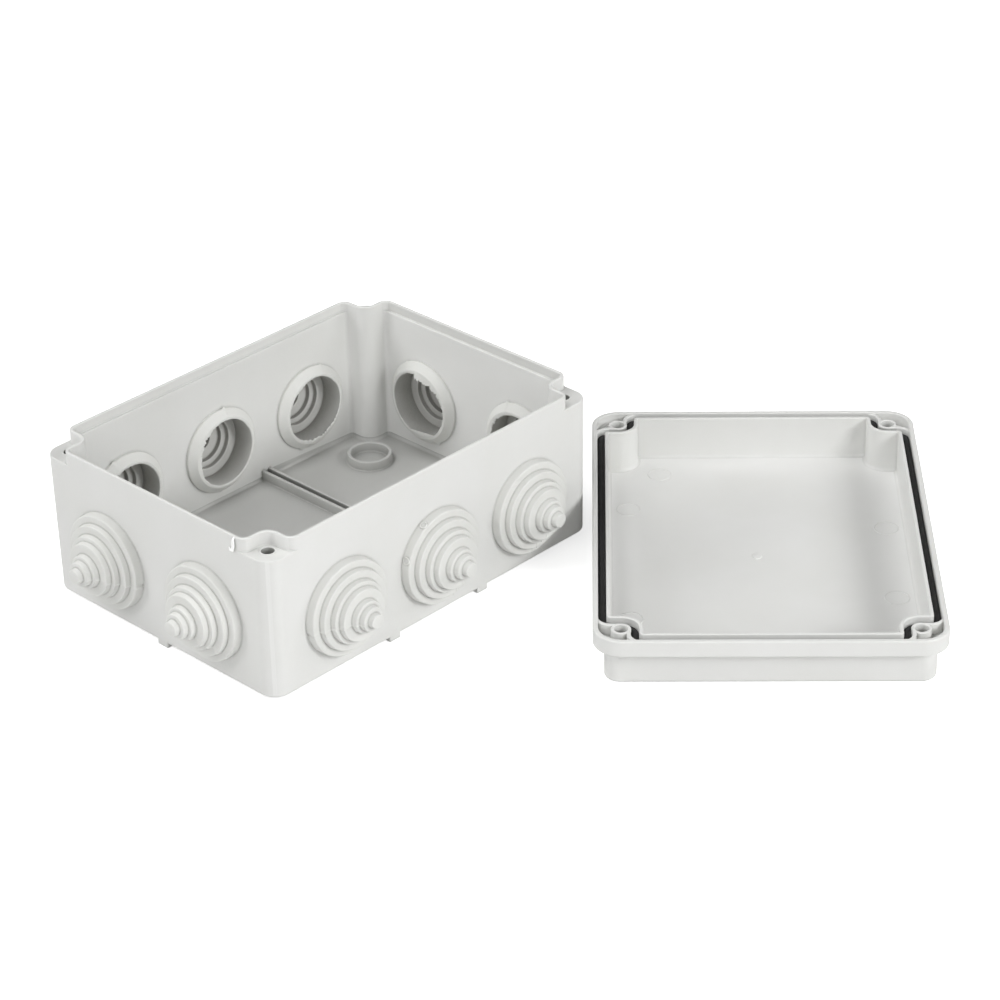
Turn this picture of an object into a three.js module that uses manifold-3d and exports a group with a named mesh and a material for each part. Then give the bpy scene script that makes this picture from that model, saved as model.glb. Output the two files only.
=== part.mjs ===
// Surface-mount electrical junction box, 150 x 110 x 70 mm class, with its cover taken off.
//
// The base stands on its back, open side up.  The cover lies beside it upside down, so its sealing
// groove, gasket and screw bosses face up.  Ten stepped rubber cable entries are gripped by round
// holes in the base walls.  Four captive screws stand backed out in the wells of the cover.
//
// Millimetres, +Z up.  The origin is the centre of the flat underside of the base.
// +X runs along the long side of the base and +Y along its short side.

import * as THREE from 'three';
import { mergeVertices } from 'three/addons/utils/BufferGeometryUtils.js';
import Module from 'manifold-3d';

const wasm = await Module();
wasm.setup();

// ---- Base ----
const BASE_LENGTH = 145;        // outside, at the rim
const BASE_WIDTH = 105.7;
const BASE_HEIGHT = 54.2;       // underside to the top of the sealing tongue
const BASE_CORNER = 6;          // outside corner radius
const DRAFT = 0.3;              // each side wall leans in by this much at the bottom
const BOTTOM_EDGE = 0.9;        // chamfer round the underside
const WALL = 2.2;
const FLOOR = 2.2;
const PLATFORM_Z = 49.5;        // corner platforms that carry the screw holes
const LEDGE_Z = 50.8;           // inside step under the tongue
const TONGUE = 1.2;             // thickness of the sealing tongue

// ---- Seal line: the tongue's outer face, which steps inwards round each screw ----
const SCREW_INSET = 6.4;        // screw axis to the two nearest outer faces
const DETOUR_RADIUS = 3.7;      // round the screw axis
const DETOUR_INSET = SCREW_INSET + DETOUR_RADIUS;
const FLARE_RADIUS = 3.4;       // where the detour leaves the straight wall
const ARC_STEPS = 5;            // segments in a quarter turn
const OVERLAP = 1;              // joined and cutting solids run this far past each other

// ---- Details of the base ----
const PILOT_RADIUS = 2.1;
const PILOT_DEPTH = 19;
const CORE_RADIUS = 3.4;        // the corner columns are hollow from below
const CORE_DEPTH = 26;
const RIB_HEIGHT = 3.5;         // pairs of floor ribs hold a partition between them
const RIB_WIDTH = 1.3;
const RIB_GAP = 1.7;
const RIB_PAIR_X = 20;
const RING_X = 52.3;            // raised rings round the wall-fixing points
const RING_Y = 32.7;
const RING_RADIUS = 7.8;
const RING_WALL = 1.2;
const RING_HEIGHT = 3.4;
const DIMPLE_RADIUS = 2.3;      // thinned knock-out under each ring
const DIMPLE_DEPTH = 1.2;
const FOOT_HEIGHT = 1.6;        // small feet under the bottom edges
const FOOT_WIDTH = 4.6;

// ---- Cable entries ----
const HOLE_RADIUS = 13.9;
const HOLE_CUT = 4 * WALL;      // length of the cutter that makes each hole
const HOLE_Z = 21.5;
const LONG_WALL_PITCH = 41.5;   // three entries in each long wall
const SHORT_WALL_HALF_PITCH = 23; // two entries in each short wall
const ROUND_STEPS = 16;
const GAP = 0.3;                // between pieces that touch
const RUBBER = 1.6;             // thickness of the cone
const FLANGE_RADIUS = 16.4;
const FLANGE_THICKNESS = 3;
const TIER_RADII = [13.45, 10.6, 8.9, 5.5, 4.1, 2.4];
const TIER_STEP = 2;            // each tier stands this much prouder than the last
const TIER_DRAFT = 0.2;
const INNER_RING_RADIUS = 15.2;
const INNER_RING_EDGE = 0.7;
const INNER_RING_DEPTH = 3.2;   // stands this far proud of the wall's inner face
const INNER_RING_LIP = 1;       // flat band round the mouth

// ---- Cover, in its own frame: long side along X, outer face down at z = 0, rim up ----
const OVERHANG = 2.4;           // the cover is this much bigger than the base, all round
const COVER_HEIGHT = 17.2;
const SKIRT_HEIGHT = 5.6;
const SKIRT_WALL = 1.75;
const COVER_CORNER = 9;
const CROWN_INSET = 3.5;        // the raised panel is smaller than the skirt by this much
const CROWN_CORNER = 5;
const CROWN_EDGE = 1;
const COVER_SKIN = 2;
const SEAL_CLEARANCE = SKIRT_WALL - OVERHANG; // groove's outer wall, measured on the seal line
const GROOVE_WIDTH = 2.6;
const GROOVE_DEPTH = 4.2;
const INNER_WALL = 1.3;
const BOSS_RADIUS = 3.2;
const BOSS_HOLE_RADIUS = 2.2;
const BOSS_DROP = 0.5;          // bosses end this far below the rim
const GUARD_WALL = 1.3;         // wall between the groove and each corner pocket
const WELL_RADIUS = 4;
const WELL_DEPTH = 11.6;
const COVER_AT = [93.4, -109];  // where the cover lies beside the base
const COVER_TURN = 42.2;        // degrees, long side of the cover from +X

// ---- Gasket and screws, in the cover's frame ----
const GASKET_WIDTH = 2;
const GASKET_HEIGHT = 1.6;
const SCREW_HEAD_RADIUS = 3.5;
const SCREW_HEAD_HEIGHT = 2.2;
const SCREW_HEAD_Z = 0.2;
const SCREW_HEAD_BEVEL = [0.6, 0.8]; // across and down, round the face of the head
const SCREW_SHANK_RADIUS = 1.8;
const SCREW_LENGTH = 12;        // under the head, point included
const SCREW_POINT = 1.2;
const RECESS_WIDTH = 0.9;       // cross recess in the head
const RECESS_SPAN = 4.2;
const RECESS_DEPTH = 1.3;

// ---- Outlines: lists of points, counter-clockwise ----

// Repeats the points of one corner in all four corners.  A corner point holds its distances from
// the side face and from the end face of a box of the given half sizes.
function fourCorners(halfLength, halfWidth, corner) {
  const mirrored = [...corner].reverse();
  const quadrant = (points, signX, signY) => points.map(
    ([dx, dy]) => new THREE.Vector2(signX * (halfLength - dx), signY * (halfWidth - dy)));
  return [
    ...quadrant(corner, 1, 1),
    ...quadrant(mirrored, -1, 1),
    ...quadrant(corner, -1, -1),
    ...quadrant(mirrored, 1, -1),
  ];
}

function arc(centreX, centreY, radius, fromDegrees, toDegrees) {
  const points = [];
  for (let i = 0; i <= ARC_STEPS; i++) {
    const angle = THREE.MathUtils.degToRad(fromDegrees + (toDegrees - fromDegrees) * i / ARC_STEPS);
    points.push([centreX + radius * Math.cos(angle), centreY + radius * Math.sin(angle)]);
  }
  return points;
}

function roundedBox(length, width, radius) {
  return fourCorners(length / 2, width / 2, arc(radius, radius, radius, 180, 270));
}

// The seal line moved inwards by `inset` on the straight walls and `detourInset` round the screws.
function sealLine(inset, detourInset = inset) {
  const flare = FLARE_RADIUS - inset;
  const detour = DETOUR_INSET + detourInset;
  const corner = [
    ...arc(inset + flare, detour + flare, flare, 180, 270),
    ...arc(SCREW_INSET, SCREW_INSET, DETOUR_RADIUS + detourInset, 90, 0),
    ...arc(detour + flare, inset + flare, flare, 180, 270),
  ];
  return fourCorners(BASE_LENGTH / 2, BASE_WIDTH / 2, corner);
}

function rectangle(centreX, centreY, sizeX, sizeY) {
  const [hx, hy] = [sizeX / 2, sizeY / 2];
  return [[-hx, -hy], [hx, -hy], [hx, hy], [-hx, hy]].map(
    ([x, y]) => new THREE.Vector2(centreX + x, centreY + y));
}

// ---- Solids ----

function solid(geometry) {
  const bare = geometry.clone();
  bare.deleteAttribute('normal');
  bare.deleteAttribute('uv');
  const welded = mergeVertices(bare, 1e-4);
  return new wasm.Manifold(new wasm.Mesh({
    numProp: 3,
    vertProperties: new Float32Array(welded.attributes.position.array),
    triVerts: new Uint32Array(welded.index.array),
  }));
}

function prism(outline, fromZ, toZ) {
  const shape = new THREE.Shape(outline);
  const geometry = new THREE.ExtrudeGeometry(shape, { depth: toZ - fromZ, bevelEnabled: false });
  return solid(geometry.translate(0, 0, fromZ));
}

// A closed skin through outlines with equal numbers of points, each given as [z, outline].
function loft(sections) {
  const count = sections[0][1].length;
  const positions = sections.flatMap(([z, outline]) => outline.flatMap((p) => [p.x, p.y, z]));
  const index = [];
  for (let s = 0; s + 1 < sections.length; s++) {
    for (let i = 0; i < count; i++) {
      const [a, b] = [s * count + i, s * count + (i + 1) % count];
      index.push(a, b, b + count, a, b + count, a + count);
    }
  }
  const top = (sections.length - 1) * count;
  for (const [a, b, c] of THREE.ShapeUtils.triangulateShape(sections[0][1], [])) {
    index.push(c, b, a, top + a, top + b, top + c);
  }
  const geometry = new THREE.BufferGeometry();
  geometry.setAttribute('position', new THREE.Float32BufferAttribute(positions, 3));
  geometry.setIndex(index);
  return solid(geometry);
}

// A bar with a round section along Z.
function rod(radius, fromZ, toZ, x = 0, y = 0) {
  const geometry = new THREE.CylinderGeometry(radius, radius, toZ - fromZ, ROUND_STEPS);
  return solid(geometry.rotateX(Math.PI / 2).translate(x, y, (fromZ + toZ) / 2));
}

function joinAll(solids) {
  return solids.reduce((joined, next) => joined.add(next));
}

function cutAll(body, cutters) {
  return body.subtract(joinAll(cutters));
}

function geometryOf(manifold) {
  const { vertProperties, triVerts } = manifold.getMesh();
  const geometry = new THREE.BufferGeometry();
  geometry.setAttribute('position', new THREE.Float32BufferAttribute(vertProperties, 3));
  geometry.setIndex(new THREE.Uint32BufferAttribute(triVerts, 1));
  geometry.computeVertexNormals();
  return geometry;
}

// ---- Places that repeat ----

const SIGNS = [[-1, -1], [1, -1], [1, 1], [-1, 1]];
const SCREW_PLACES = SIGNS.map(([sx, sy]) => [
  sx * (BASE_LENGTH / 2 - SCREW_INSET),
  sy * (BASE_WIDTH / 2 - SCREW_INSET),
]);
const RING_PLACES = SIGNS.map(([sx, sy]) => [sx * RING_X, sy * RING_Y]);

// Each cable entry: its name, the point where its axis meets the wall's outer face, and the turn
// about Z that takes an entry facing +X to it.
const ENTRIES = [
  ...[['left', -1], ['middle', 0], ['right', 1]].flatMap(([place, step]) => [
    { name: `cable_entry_front_${place}`, x: step * LONG_WALL_PITCH, y: -BASE_WIDTH / 2, turn: -90 },
    { name: `cable_entry_back_${place}`, x: step * LONG_WALL_PITCH, y: BASE_WIDTH / 2, turn: 90 },
  ]),
  ...[['front', -1], ['back', 1]].flatMap(([place, side]) => [
    { name: `cable_entry_left_${place}`, x: -BASE_LENGTH / 2, y: side * SHORT_WALL_HALF_PITCH, turn: 180 },
    { name: `cable_entry_right_${place}`, x: BASE_LENGTH / 2, y: side * SHORT_WALL_HALF_PITCH, turn: 0 },
  ]),
];

// Turns a geometry made round +X so that it faces out of its wall, and moves it there.
function placeEntry(geometry, entry) {
  return geometry.rotateZ(THREE.MathUtils.degToRad(entry.turn)).translate(entry.x, entry.y, HOLE_Z);
}

// ---- The pieces ----

function baseShell() {
  const outside = (inset, corner) => roundedBox(BASE_LENGTH - 2 * inset, BASE_WIDTH - 2 * inset, corner);
  return joinAll([
    loft([
      [0, outside(DRAFT + BOTTOM_EDGE, BASE_CORNER - BOTTOM_EDGE)],
      [BOTTOM_EDGE, outside(DRAFT, BASE_CORNER)],
      [PLATFORM_Z, outside(0, BASE_CORNER)],
    ]),
    prism(sealLine(0), PLATFORM_Z - OVERLAP, BASE_HEIGHT),
  ]);
}

function baseCavity() {
  return joinAll([
    prism(sealLine(WALL, TONGUE), FLOOR, LEDGE_Z),
    prism(sealLine(TONGUE), LEDGE_Z, BASE_HEIGHT + OVERLAP),
  ]);
}

function entryHole(entry) {
  const geometry = new THREE.CylinderGeometry(HOLE_RADIUS, HOLE_RADIUS, HOLE_CUT, ROUND_STEPS);
  return solid(placeEntry(geometry.rotateZ(-Math.PI / 2), entry));
}

function floorRibs() {
  const length = BASE_WIDTH - 2 * WALL + OVERLAP;
  const offset = (RIB_GAP + RIB_WIDTH) / 2;
  return [-1, 1].flatMap((pair) => [-offset, offset].map((shift) => prism(
    rectangle(pair * RIB_PAIR_X + shift, 0, RIB_WIDTH, length), FLOOR - OVERLAP, FLOOR + RIB_HEIGHT)));
}

function floorRings() {
  const top = FLOOR + RING_HEIGHT;
  return RING_PLACES.map(([x, y]) => rod(RING_RADIUS, FLOOR - OVERLAP, top, x, y)
    .subtract(rod(RING_RADIUS - RING_WALL, FLOOR, top + OVERLAP, x, y)));
}

function feet() {
  const y = BASE_WIDTH / 2 - DRAFT - WALL / 2;
  const x = BASE_LENGTH / 2 - DRAFT - WALL / 2;
  const outlines = [
    ...[[-RIB_PAIR_X, -y], [RIB_PAIR_X, -y], [-RIB_PAIR_X, y], [RIB_PAIR_X, y]].map(
      ([cx, cy]) => rectangle(cx, cy, FOOT_WIDTH, WALL)),
    ...[-x, x].map((cx) => rectangle(cx, 0, WALL, FOOT_WIDTH)),
  ];
  return outlines.map((outline) => prism(outline, -FOOT_HEIGHT, BOTTOM_EDGE + OVERLAP));
}

function enclosureBase() {
  const holes = [
    baseCavity(),
    ...ENTRIES.map(entryHole),
    ...SCREW_PLACES.map(([x, y]) => rod(PILOT_RADIUS, PLATFORM_Z - PILOT_DEPTH, BASE_HEIGHT, x, y)),
    ...SCREW_PLACES.map(([x, y]) => rod(CORE_RADIUS, -OVERLAP, CORE_DEPTH, x, y)),
    ...RING_PLACES.map(([x, y]) => rod(DIMPLE_RADIUS, -OVERLAP, DIMPLE_DEPTH, x, y)),
  ];
  return cutAll(baseShell(), holes).add(joinAll([...floorRibs(), ...floorRings(), ...feet()]));
}

// A stepped cone that closes one hole: flange outside, bevelled ring inside, neck in the wall.
// The profile is radius against distance outwards from the wall's outer face.
function cableEntry() {
  const outer = [[0, FLANGE_THICKNESS + TIER_RADII.length * TIER_STEP]];
  const inner = [];
  TIER_RADII.toReversed().forEach((radius, i) => {
    const face = FLANGE_THICKNESS + (TIER_RADII.length - i) * TIER_STEP;
    outer.push([radius, face], [radius + TIER_DRAFT, face - TIER_STEP]);
    inner.push([radius - RUBBER, face - RUBBER]);
  });
  const mouth = TIER_RADII[0] - RUBBER;
  const insideFace = -WALL - GAP;
  const mouthFace = -WALL - INNER_RING_DEPTH;
  const neck = HOLE_RADIUS - GAP;
  const profile = [
    ...outer,
    [FLANGE_RADIUS - TIER_DRAFT, FLANGE_THICKNESS],
    [FLANGE_RADIUS, GAP],
    [neck, GAP],
    [neck, insideFace],
    [INNER_RING_RADIUS, insideFace],
    [INNER_RING_RADIUS, insideFace - INNER_RING_EDGE],
    [mouth + INNER_RING_LIP, mouthFace],
    [mouth, mouthFace],
    ...inner.toReversed().flatMap(([radius, face], i, list) => (
      i + 1 < list.length ? [[radius, face], [list[i + 1][0], face]] : [[radius, face], [0, face]])),
  ];
  const points = profile.toReversed().map(([radius, out]) => new THREE.Vector2(radius, out));
  return new THREE.LatheGeometry(points, ROUND_STEPS).rotateZ(-Math.PI / 2);
}

function coverOutline(inset, corner) {
  const grow = 2 * (OVERHANG - inset);
  return roundedBox(BASE_LENGTH + grow, BASE_WIDTH + grow, corner);
}

function coverShell() {
  const skirtZ = COVER_HEIGHT - SKIRT_HEIGHT;
  return joinAll([
    loft([
      [0, coverOutline(CROWN_INSET + CROWN_EDGE, CROWN_CORNER - CROWN_EDGE)],
      [CROWN_EDGE, coverOutline(CROWN_INSET, CROWN_CORNER)],
      [skirtZ + OVERLAP, coverOutline(CROWN_INSET, CROWN_CORNER)],
    ]),
    prism(coverOutline(0, COVER_CORNER), skirtZ, COVER_HEIGHT),
  ]);
}

// Everything between the skirt and the wall inside the groove, corner pockets included.
function grooveAndPockets() {
  const floorZ = COVER_HEIGHT - GROOVE_DEPTH;
  const topZ = COVER_HEIGHT + OVERLAP;
  const island = prism(sealLine(SEAL_CLEARANCE + GROOVE_WIDTH), floorZ - OVERLAP, topZ + OVERLAP);
  return prism(coverOutline(SKIRT_WALL, COVER_CORNER - SKIRT_WALL), floorZ, topZ).subtract(island);
}

function guardWalls() {
  const [fromZ, toZ] = [COVER_HEIGHT - GROOVE_DEPTH - OVERLAP / 2, COVER_HEIGHT - BOSS_DROP];
  return prism(sealLine(SEAL_CLEARANCE - GUARD_WALL), fromZ, toZ)
    .subtract(prism(sealLine(SEAL_CLEARANCE), fromZ - OVERLAP, toZ + OVERLAP));
}

function cover() {
  const top = COVER_HEIGHT - BOSS_DROP;
  const bosses = SCREW_PLACES.map(([x, y]) => rod(BOSS_RADIUS, WELL_DEPTH, top, x, y));
  const shell = coverShell().subtract(grooveAndPockets());
  const wallInset = SEAL_CLEARANCE + GROOVE_WIDTH + INNER_WALL;
  return cutAll(joinAll([shell, guardWalls(), ...bosses]), [
    prism(sealLine(wallInset), COVER_SKIN, COVER_HEIGHT + OVERLAP),
    ...SCREW_PLACES.map(([x, y]) => rod(WELL_RADIUS, -OVERLAP, WELL_DEPTH, x, y)),
    ...SCREW_PLACES.map(([x, y]) => rod(BOSS_HOLE_RADIUS, WELL_DEPTH - OVERLAP, COVER_HEIGHT, x, y)),
  ]);
}

function coverGasket() {
  const inset = SEAL_CLEARANCE + (GROOVE_WIDTH - GASKET_WIDTH) / 2;
  const fromZ = COVER_HEIGHT - GROOVE_DEPTH + GAP;
  return prism(sealLine(inset), fromZ, fromZ + GASKET_HEIGHT)
    .subtract(prism(sealLine(inset + GASKET_WIDTH), fromZ - OVERLAP, fromZ + GASKET_HEIGHT + OVERLAP));
}

// A pan-head screw standing on its head, with a cross recess in the face of the head.
function coverScrew() {
  const headTop = SCREW_HEAD_Z + SCREW_HEAD_HEIGHT;
  const tip = headTop + SCREW_LENGTH;
  const profile = [
    [0, SCREW_HEAD_Z],
    [SCREW_HEAD_RADIUS - SCREW_HEAD_BEVEL[0], SCREW_HEAD_Z],
    [SCREW_HEAD_RADIUS, SCREW_HEAD_Z + SCREW_HEAD_BEVEL[1]],
    [SCREW_HEAD_RADIUS, headTop],
    [SCREW_SHANK_RADIUS, headTop],
    [SCREW_SHANK_RADIUS, tip - SCREW_POINT],
    [0, tip],
  ];
  const points = profile.map(([radius, z]) => new THREE.Vector2(radius, z));
  const recessTop = SCREW_HEAD_Z + RECESS_DEPTH;
  return cutAll(solid(new THREE.LatheGeometry(points, ROUND_STEPS).rotateX(Math.PI / 2)), [
    prism(rectangle(0, 0, RECESS_SPAN, RECESS_WIDTH), SCREW_HEAD_Z - OVERLAP, recessTop),
    prism(rectangle(0, 0, RECESS_WIDTH, RECESS_SPAN), SCREW_HEAD_Z - OVERLAP, recessTop),
  ]);
}

// ---- Materials ----

function plastic(color, roughness) {
  return new THREE.MeshStandardMaterial({ color, roughness, metalness: 0 });
}

const MATERIALS = {
  housing: () => plastic(0xdcddda, 0.5),
  entry: () => plastic(0xd2d3cf, 0.65),
  gasket: () => plastic(0x2b2b2b, 0.75),
  screw: () => new THREE.MeshStandardMaterial({ color: 0xb9bcc0, roughness: 0.35, metalness: 1 }),
};

function piece(name, geometry, material) {
  const mesh = new THREE.Mesh(geometry, material);
  mesh.name = name;
  return mesh;
}

// ---- Assembly ----

const junctionBox = new THREE.Group();
junctionBox.add(piece('enclosure_base', geometryOf(enclosureBase()), MATERIALS.housing()));

for (const entry of ENTRIES) {
  const mesh = piece(entry.name, cableEntry(), MATERIALS.entry());
  mesh.rotation.z = THREE.MathUtils.degToRad(entry.turn);
  mesh.position.set(entry.x, entry.y, HOLE_Z);
  junctionBox.add(mesh);
}

const coverSet = new THREE.Group();
coverSet.position.set(COVER_AT[0], COVER_AT[1], -FOOT_HEIGHT);
coverSet.rotation.z = THREE.MathUtils.degToRad(COVER_TURN);
coverSet.add(piece('cover', geometryOf(cover()), MATERIALS.housing()));
coverSet.add(piece('cover_gasket', geometryOf(coverGasket()), MATERIALS.gasket()));
SCREW_PLACES.forEach(([x, y], i) => {
  const screw = piece(`cover_screw_${i + 1}`, geometryOf(coverScrew()), MATERIALS.screw());
  screw.position.set(x, y, 0);
  coverSet.add(screw);
});
junctionBox.add(coverSet);

export default junctionBox;
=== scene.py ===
"""The looks of the electrical junction box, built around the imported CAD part.

Lengths are in millimetres until a mesh is finished, and metres after that.  Profiles of turned
shapes are (radius, height) points.  Outlines of the base and cover are given by one corner,
as distances from the end face and from the side face, and repeated in the four corners.
"""

import math

import bmesh
import bpy
import numpy as np
from mathutils import Matrix, Vector, noise


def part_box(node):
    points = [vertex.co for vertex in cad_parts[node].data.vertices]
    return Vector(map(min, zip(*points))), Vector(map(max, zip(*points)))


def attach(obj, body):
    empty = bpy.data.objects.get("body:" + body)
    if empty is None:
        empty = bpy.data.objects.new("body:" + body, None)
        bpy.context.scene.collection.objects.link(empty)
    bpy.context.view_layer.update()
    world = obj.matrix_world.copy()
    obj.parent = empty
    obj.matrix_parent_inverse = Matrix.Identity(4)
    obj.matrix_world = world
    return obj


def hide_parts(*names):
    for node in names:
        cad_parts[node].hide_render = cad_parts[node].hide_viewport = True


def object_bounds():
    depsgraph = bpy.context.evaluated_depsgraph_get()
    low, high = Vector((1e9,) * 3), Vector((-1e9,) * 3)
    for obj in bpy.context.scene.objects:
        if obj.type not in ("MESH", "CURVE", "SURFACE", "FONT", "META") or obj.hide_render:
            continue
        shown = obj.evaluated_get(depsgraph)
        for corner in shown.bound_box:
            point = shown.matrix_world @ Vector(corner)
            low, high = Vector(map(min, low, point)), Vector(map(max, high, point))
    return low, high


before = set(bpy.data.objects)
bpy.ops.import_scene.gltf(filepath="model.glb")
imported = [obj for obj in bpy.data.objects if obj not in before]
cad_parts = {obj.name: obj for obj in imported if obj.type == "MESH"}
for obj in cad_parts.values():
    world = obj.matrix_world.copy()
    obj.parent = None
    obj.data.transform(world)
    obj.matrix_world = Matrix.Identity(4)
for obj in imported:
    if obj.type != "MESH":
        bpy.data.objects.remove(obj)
cad_box = [list(corner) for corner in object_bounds()]

MM = 0.001

# ---- Places and sizes of the CAD parts in model.glb ----


def box_mm(node):
    """Lowest and highest corner of a CAD node, in millimetres."""
    low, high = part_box(node)
    return np.array(low) / MM, np.array(high) / MM


base_low, base_high = box_mm("enclosure_base")
cover_low, cover_high = box_mm("cover")
SCREWS = [f"cover_screw_{i}" for i in (1, 2, 3, 4)]
screw_boxes = [box_mm(name) for name in SCREWS]
screw_centres = [(low + high) / 2 for low, high in screw_boxes]
along_cover = screw_centres[1] - screw_centres[0]

HALF = (base_high - base_low)[:2] / 2           # half length and half width of the base
BASE_TOP = base_high[2]
FOOT_HEIGHT = -base_low[2]
SCREW_INSET = HALF[0] - np.linalg.norm(along_cover) / 2   # screw axis to the two nearest faces
COVER_TURN = math.atan2(along_cover[1], along_cover[0])
COVER_CENTRE = sum(screw_centres) / len(screw_centres)
COVER_Z = cover_low[2]
COVER_HEIGHT = cover_high[2] - cover_low[2]

# ---- Base, mm ----
BASE_CORNER = 6.0
DRAFT = 0.3               # each side wall leans in by this much at the bottom
BOTTOM_EDGE = 0.9
WALL = 2.2
FLOOR = 2.2
PLATFORM_Z = 49.5
LEDGE_Z = 50.8
TONGUE = 1.2
DETOUR_RADIUS = 3.7       # the seal line's way round each screw
FLARE_RADIUS = 3.4
FLOOR_FILLET = 1.1

# ---- Cover, mm, in its own frame: outer face down at z = 0 ----
OVERHANG = 2.4
SKIRT_HEIGHT = 5.6
SKIRT_WALL = 1.75
COVER_CORNER = 9.25
CROWN_INSET = 3.5
CROWN_CORNER = 5.0
CROWN_EDGE = 1.0
COVER_SKIN = 2.0
SEAL_CLEARANCE = SKIRT_WALL - OVERHANG
GROOVE_WIDTH = 2.6
GROOVE_DEPTH = 4.2
INNER_WALL = 1.3
GUARD_WALL = 1.3
BOSS_DROP = 0.5
BOSS_RADIUS = 3.2
BOSS_HOLE = 2.2
WELL_RADIUS = 4.0
WELL_DEPTH = 11.6

FLARE_STEPS = 8
DETOUR_STEPS = 14
EDGE_STEPS = 4

# ---- Points and outlines ----


def unit(v):
    return v / np.linalg.norm(v)


def rounded(points, steps=EDGE_STEPS, closed=False):
    """A line through (a, b) points.  A point with a third value is replaced by an arc of that radius."""
    line = []
    count = len(points)
    for i, point in enumerate(points):
        corner = np.array(point[:2], float)
        if len(point) == 2 or (not closed and i in (0, count - 1)):
            line.append(corner)
            continue
        before = unit(np.array(points[i - 1][:2], float) - corner)
        after = unit(np.array(points[(i + 1) % count][:2], float) - corner)
        half_angle = math.acos(max(-1.0, min(1.0, float(before @ after)))) / 2
        centre = corner + unit(before + after) * point[2] / math.sin(half_angle)
        start = corner + before * point[2] / math.tan(half_angle) - centre
        end = corner + after * point[2] / math.tan(half_angle) - centre
        sweep = math.atan2(start[0] * end[1] - start[1] * end[0], float(start @ end))
        for k in range(steps + 1):
            c, s = math.cos(sweep * k / steps), math.sin(sweep * k / steps)
            line.append(centre + np.array([c * start[0] - s * start[1], s * start[0] + c * start[1]]))
    return line


def arc(centre, radius, start, end, steps):
    """Points on a circle, from start to end degrees."""
    t = np.radians(np.linspace(start, end, steps + 1))
    return np.column_stack([centre[0] + radius * np.cos(t), centre[1] + radius * np.sin(t)])


def seal_corner(inset, detour_inset=None):
    """One corner of the seal line moved inwards: straight wall, flare, way round the screw, flare."""
    detour_inset = inset if detour_inset is None else detour_inset
    flare = max(FLARE_RADIUS - inset, 0.02)
    detour = SCREW_INSET + DETOUR_RADIUS + detour_inset
    return np.vstack([
        arc((inset + flare, detour + flare), flare, 180, 270, FLARE_STEPS),
        arc((SCREW_INSET, SCREW_INSET), DETOUR_RADIUS + detour_inset, 90, 0, DETOUR_STEPS),
        arc((detour + flare, inset + flare), flare, 180, 270, FLARE_STEPS),
    ])


def plain_corner(inset, radius, beside=None):
    """A rounded corner with as many points as a seal corner, its straight parts level with beside's."""
    beside = seal_corner(0) if beside is None else beside
    first, last = beside[:FLARE_STEPS + 1, 1], beside[-FLARE_STEPS - 1:, 0]
    centre = (inset + radius, inset + radius)
    return np.vstack([
        np.column_stack([np.full(len(first), inset), first]),
        arc(centre, radius, 180, 270, DETOUR_STEPS),
        np.column_stack([last, np.full(len(last), inset)]),
    ])


def outline(corner, z):
    """All four corners as a closed ring of points at height z, which is a number or one per point."""
    z = np.broadcast_to(z, len(corner))
    parts = []
    for sx, sy in ((1, 1), (-1, 1), (-1, -1), (1, -1)):
        part = np.column_stack([sx * (HALF[0] - corner[:, 0]), sy * (HALF[1] - corner[:, 1]), z])
        parts.append(part if sx * sy > 0 else part[::-1])
    return np.vstack(parts)


def circle(radius, z, angles, x=0.0, y=0.0):
    return np.column_stack([x + radius * np.cos(angles), y + radius * np.sin(angles),
                            np.full(len(angles), z)])


# ---- Meshes ----

MERGE = 2e-4


def skin(rings, closed=False):
    """A closed surface through rings of equal length.  Points that coincide become one vertex."""
    count = len(rings[0])
    points = np.vstack(rings)
    faces = []
    last = len(rings) if closed else len(rings) - 1
    for r in range(last):
        a, b = r * count, (r + 1) % len(rings) * count
        for i in range(count):
            j = (i + 1) % count
            faces.append((a + i, a + j, b + j, b + i))
    if not closed:
        faces.append(tuple(range(count))[::-1])
        faces.append(tuple(range(len(points) - count, len(points))))
    mesh = bpy.data.meshes.new("skin")
    mesh.from_pydata(points.tolist(), [], faces)
    work = bmesh.new()
    work.from_mesh(mesh)
    bmesh.ops.remove_doubles(work, verts=work.verts, dist=MERGE)
    bmesh.ops.recalc_face_normals(work, faces=work.faces)
    work.to_mesh(mesh)
    work.free()
    return mesh


def turned(profile, x=0.0, y=0.0, steps=64):
    """A solid turned about a vertical axis from (radius, z) points that start and end on the axis."""
    angles = np.linspace(0, 2 * math.pi, steps, endpoint=False)
    return skin([circle(max(r, 0.0), z, angles, x, y) for r, z in profile])


def tube(profile, x=0.0, y=0.0, steps=64):
    """A ring turned about a vertical axis from a closed line of (radius, z) points."""
    angles = np.linspace(0, 2 * math.pi, steps, endpoint=False)
    return skin([circle(r, z, angles, x, y) for r, z in profile], closed=True)


def bar(profile, start, end, along):
    """A bar with a closed profile.  along "y": profile points are (x, z).  "x": they are (y, z)."""
    rings = []
    for at in (start, end):
        points = np.array(profile)
        across, z = points[:, 0], points[:, 1]
        level = np.full(len(points), at)
        rings.append(np.column_stack([across, level, z] if along == "y" else [level, across, z]))
    return skin(rings)


def joined(meshes):
    """One mesh of several that don't touch."""
    work = bmesh.new()
    for mesh in meshes:
        work.from_mesh(mesh)
    made = bpy.data.meshes.new("joined")
    work.to_mesh(made)
    work.free()
    return made


def as_object(mesh, name="work"):
    made = bpy.data.objects.new(name, mesh)
    bpy.context.scene.collection.objects.link(made)
    return made


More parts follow.
